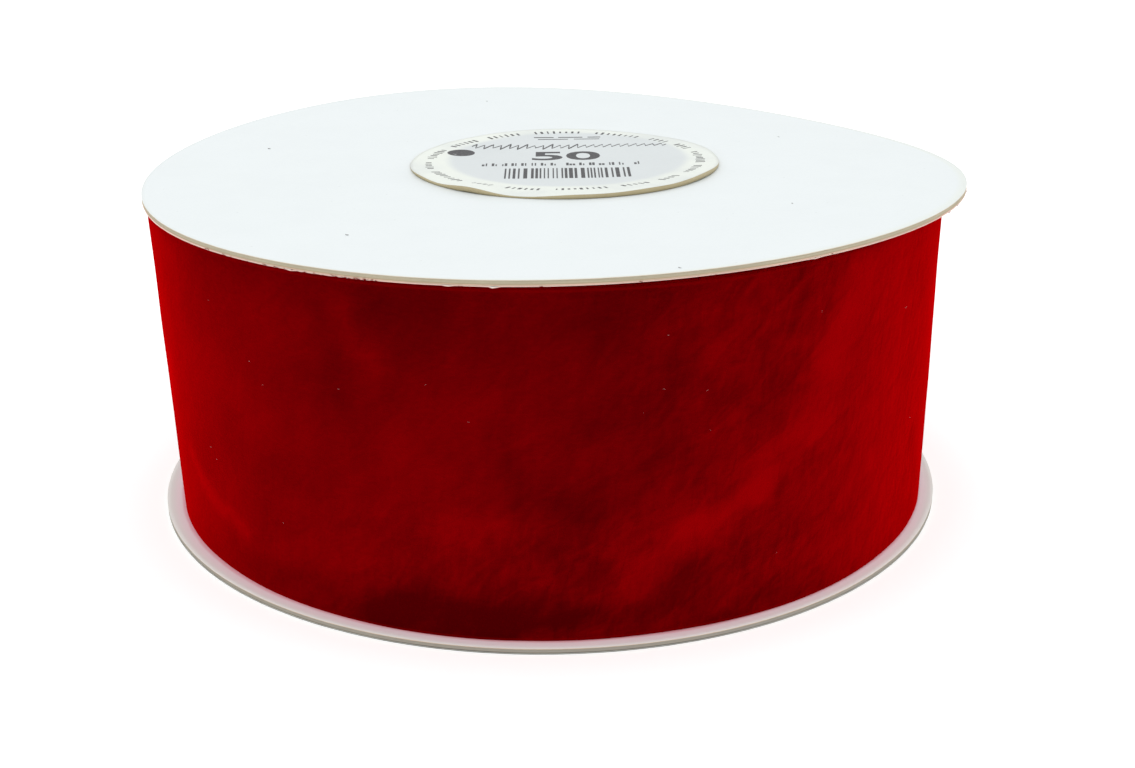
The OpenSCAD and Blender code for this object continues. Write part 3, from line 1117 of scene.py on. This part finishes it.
class SPOOL_OT_label(bpy.types.Operator):
    """Stick the round paper label over the spindle hole and print it"""
    bl_idname = "spool.label"
    bl_label = "Label"

    def execute(self, context):
        sizes = context.scene.spool_sizes
        thick = LABEL_HIGH.z - LABEL_LOW.z - 0.02 * MM
        rings = 34
        outline = (
            between((0.0, 0.0), (LABEL_R, 0.0), rings)
            + between((LABEL_R, 0.0), (LABEL_R, thick), 2)
            + between((LABEL_R, thick), (0.0, thick), rings)
            + [(0.0, thick)]
        )
        bm = spun(outline, 240)
        for face in bm.faces:
            face.material_index = 0 if face.calc_center_median().z > thick * 0.99 else 1
        for vert in bm.verts:
            x, y, up = vert.co
            edge = smooth_step(0.9 * LABEL_R, LABEL_R, math.hypot(x, y))
            height = label_height(x, y, sizes)
            room = max(height - TOP_Z - 0.015 * MM, 0) * 0.92
            hang = (1 - up / thick) * min(sizes.label_curl - thick, room) * edge
            vert.co = (x + LABEL_CENTRE.x - sizes.label_slide, y + LABEL_CENTRE.y, height + up - hang)
        faces = [MATERIALS["label_face"], MATERIALS["label_back"]]
        finish_piece(context, "round_label", bm, faces, ["label"])
        bm = bmesh.new()
        label_print(bm)
        thicken(bm, 0.016 * MM)
        for vert in bm.verts:
            vert.co.z += label_height(vert.co.x, vert.co.y, sizes) + thick - 0.004 * MM
            vert.co.x += LABEL_CENTRE.x - sizes.label_slide
            vert.co.y += LABEL_CENTRE.y
        print_piece = finish_piece(context, "label_print", bm, [MATERIALS["ink"]])
        for polygon in print_piece.data.polygons:
            polygon.use_smooth = False
        return {"FINISHED"}


# ---------------------------------------------------------------- lint


# Lint caught on the front of the velvet: angle, and height in millimetres.
LINT_SPECKS = (
    (244.0, 35.2), (255.4, 37.3), (231.5, 33.2), (281.4, 33.4), (290.0, 29.8), (284.4, 43.8), (305.9, 43.6),
    (260.5, 32.6), (289.6, 35.6), (283.8, 36.5), (219.0, 18.0), (233.0, 12.5), (300.5, 9.0), (325.0, 39.0),
)
# Specks on the upper face: place in millimetres from the spool's axis.
FACE_SPECKS = ((15.9, -61.3), (-27.8, -42.0), (40.0, 21.0), (-12.0, 52.0), (-48.0, 14.0), (35.0, -28.0))


def add_fibre(bm, start, heading, span, thick):
    """A curled three-sided fibre that tapers to its far end."""
    first = len(bm.verts)
    place = Matrix.Translation(start) @ heading.to_track_quat("Z", "X").to_matrix().to_4x4()
    made = bmesh.ops.create_cone(
        bm, cap_ends=True, segments=3, radius1=thick, radius2=thick * 0.4, depth=span,
        matrix=place @ Matrix.Translation((0, 0, span / 2)),
    )["verts"]
    sides = dict.fromkeys(
        edge for vert in made for edge in vert.link_edges if edge.calc_length() > span * 0.9
    )
    bmesh.ops.subdivide_edges(bm, edges=list(sides), cuts=4)
    bm.verts.ensure_lookup_table()
    for vert in bm.verts[first:]:
        along = (vert.co - start).dot(heading) / span
        middle = start + heading * along * span
        vert.co += noise.noise_vector(middle / span * 0.9) * span * 0.5 * along


class SPOOL_OT_lint(bpy.types.Operator):
    """Scatter a few specks of lint on the velvet and red fuzz under the upper flange's rim"""
    bl_idname = "spool.lint"
    bl_label = "Lint"

    def execute(self, context):
        sizes = context.scene.spool_sizes
        winding = Winding(sizes)
        draw = random.Random(21)
        bm = bmesh.new()
        specks = list(LINT_SPECKS)
        specks += [(draw.uniform(330, 590), draw.uniform(3, 48)) for _ in range(24)]
        for turn, high in specks:
            angle = math.radians(turn % 360)
            height = high * MM
            wound = winding.last - ((winding.tail - angle) % TURN)
            point = winding.place(wound, height, 1.0)
            outward = Vector((math.cos(angle), math.sin(angle), 0))
            heading = Vector((-math.sin(angle), math.cos(angle), 0)) * draw.choice((-1, 1))
            heading = (heading + Vector((0, 0, draw.uniform(-1, 1))) + outward * 0.1).normalized()
            span = draw.uniform(0.12, 0.35) * MM
            add_fibre(bm, point + outward * 0.03 * MM, heading, span, draw.uniform(0.02, 0.035) * MM)
        finish_piece(context, "velvet_lint", bm, [MATERIALS["lint"]])
        bm = bmesh.new()
        for _ in range(70):
            turn = draw.choice((draw.uniform(222, 250), draw.uniform(0, 360)))
            angle = math.radians(turn)
            radius = FLANGE_R + 0.02 * MM
            z = CEILING_Z + flange_warp(radius, angle, sizes.flange_warp) + draw.uniform(-0.02, 0.1) * MM
            along = Vector((-math.sin(angle), math.cos(angle), 0)) * draw.choice((-1, 1))
            heading = (along + Vector((0, 0, draw.uniform(-0.1, 0.25)))).normalized()
            root = Vector((radius * math.cos(angle) + sizes.upper_slide[0], radius * math.sin(angle), z))
            span = draw.uniform(0.25, 0.8) * MM
            add_fibre(bm, root, heading, span, draw.uniform(0.03, 0.07) * MM)
        finish_piece(context, "rim_fuzz", bm, [MATERIALS["fuzz"]])
        bm = bmesh.new()
        for x, y in FACE_SPECKS:
            angle, radius = math.atan2(y, x), math.hypot(x, y) * MM
            z = TOP_Z + flange_warp(radius, angle, sizes.flange_warp) + 0.03 * MM
            turn = draw.uniform(0, TURN)
            heading = Vector((math.cos(turn), math.sin(turn) * 0.3, 0.02)).normalized()
            add_fibre(bm, Vector((x * MM, y * MM, z)), heading, draw.uniform(0.3, 0.6) * MM, 0.09 * MM)
        finish_piece(context, "face_specks", bm, [MATERIALS["grey_lint"]])
        return {"FINISHED"}


# ---------------------------------------------------------------- stage


def area_light(context, name, size, power, place):
    """A soft light that points at the middle of the spool."""
    light = bpy.data.lights.new(name, "AREA")
    light.shape = "RECTANGLE"
    light.size, light.size_y = size
    light.energy = power
    lamp = bpy.data.objects.new(name, light)
    context.scene.collection.objects.link(lamp)
    lamp.location = place
    lamp.rotation_euler = (Vector((0, 0, 0.03)) - Vector(place)).to_track_quat("-Z", "Y").to_euler()


class SPOOL_OT_stage(bpy.types.Operator):
    """Set the pale floor, the soft lights and the camera"""
    bl_idname = "spool.stage"
    bl_label = "Stage"

    def execute(self, context):
        studio = context.scene.spool_studio
        scene = context.scene
        bm = bmesh.new()
        bmesh.ops.create_grid(bm, x_segments=1, y_segments=1, size=60)
        mesh = bpy.data.meshes.new("studio_floor")
        bm.to_mesh(mesh)
        bm.free()
        material, _, surface = new_material("studio_white", roughness=0.9, specular_ior_level=0.1)
        surface.inputs["Base Color"].default_value = (0.97, 0.97, 0.97, 1)
        # A light table: the sheet glows a little, which thins the shadow round the spool.
        surface.inputs["Emission Color"].default_value = (1, 1, 1, 1)
        surface.inputs["Emission Strength"].default_value = 0.2
        mesh.materials.append(material)
        floor = bpy.data.objects.new("studio_floor", mesh)
        floor.location.z = -0.02 * MM
        scene.collection.objects.link(floor)

        world = bpy.data.worlds.new("studio")
        scene.world = world
        world.use_nodes = True
        background = world.node_tree.nodes["Background"]
        background.inputs[0].default_value = (1, 1, 1, 1)
        # The surround lights the spool at its own brightness, and is plain white behind it.
        seen = add(world.node_tree, "LightPath").outputs["Is Camera Ray"]
        level = ranged(world.node_tree, seen, 0.0, 1.0, studio.surround, 1.0)
        world.node_tree.links.new(level, background.inputs[1])
        area_light(context, "overhead", (3, 3), studio.overhead, (0, 0, 1.6))
        area_light(context, "left_bank", (1.6, 1.2), studio.sides, (-1.6, 0.1, 0.75))
        area_light(context, "right_bank", (1.6, 1.2), studio.sides, (1.6, 0.1, 0.75))
        area_light(context, "front_fill", (1.4, 0.6), studio.front, (0, -1.6, 0.9))

        lens = bpy.data.cameras.new("camera")
        lens.lens = studio.lens
        lens.sensor_width = 36
        lens.clip_start = 0.01
        camera = bpy.data.objects.new("camera", lens)
        scene.collection.objects.link(camera)
        back = Vector((0, -math.cos(studio.elevation), math.sin(studio.elevation)))
        camera.location = Vector((0, 0, TOP_Z)) + back * studio.distance
        forward, right = -back, Vector((1, 0, 0))
        up = right.cross(forward)
        turn = Matrix.Rotation(studio.pan, 3, up)
        right, up, forward = turn @ right, turn @ up, turn @ forward
        turn = Matrix.Rotation(-studio.tilt, 3, right)
        right, up, forward = turn @ right, turn @ up, turn @ forward
        turn = Matrix.Rotation(studio.roll, 3, forward)
        right, up = turn @ right, turn @ up
        camera.rotation_euler = Matrix((right, up, -forward)).transposed().to_euler()
        scene.camera = camera
        scene.view_settings.view_transform = "Standard"
        return {"FINISHED"}


# ---------------------------------------------------------------- add-on


class SPOOL_PT_panel(bpy.types.Panel):
    """Lists the spool's pieces, sizes and colours"""
    bl_idname = "SPOOL_PT_panel"
    bl_label = "Ribbon Spool"
    bl_space_type = "VIEW_3D"
    bl_region_type = "UI"
    bl_category = "Ribbon Spool"

    def draw(self, context):
        layout = self.layout
        for operator in OPERATORS:
            layout.operator(operator.bl_idname)
        for group in (context.scene.spool_sizes, context.scene.spool_colours, context.scene.spool_studio):
            box = layout.box()
            for name in group.__annotations__:
                box.prop(group, name)


GROUPS = {"spool_sizes": SpoolSizes, "spool_colours": SpoolColours, "spool_studio": SpoolStudio}
OPERATORS = (
    SPOOL_OT_flanges, SPOOL_OT_core, SPOOL_OT_glue_beads, SPOOL_OT_ribbon, SPOOL_OT_tail_tape,
    SPOOL_OT_label, SPOOL_OT_lint, SPOOL_OT_stage,
)


def register():
    for cls in (*GROUPS.values(), *OPERATORS, SPOOL_PT_panel):
        bpy.utils.register_class(cls)
    for name, group in GROUPS.items():
        setattr(bpy.types.Scene, name, PointerProperty(type=group))


def unregister():
    for name in GROUPS:
        delattr(bpy.types.Scene, name)
    for cls in reversed((*GROUPS.values(), *OPERATORS, SPOOL_PT_panel)):
        bpy.utils.unregister_class(cls)


def main():
    register()
    scene = bpy.context.scene
    MATERIALS.update(make_materials(scene.spool_colours, scene.spool_sizes))
    bpy.ops.spool.flanges()
    bpy.ops.spool.core()
    bpy.ops.spool.glue_beads()
    bpy.ops.spool.ribbon()
    bpy.ops.spool.tail_tape()
    bpy.ops.spool.label()
    bpy.ops.spool.lint()
    bpy.ops.spool.stage()
    bpy.context.view_layer.update()


if __name__ == "__main__":
    main()
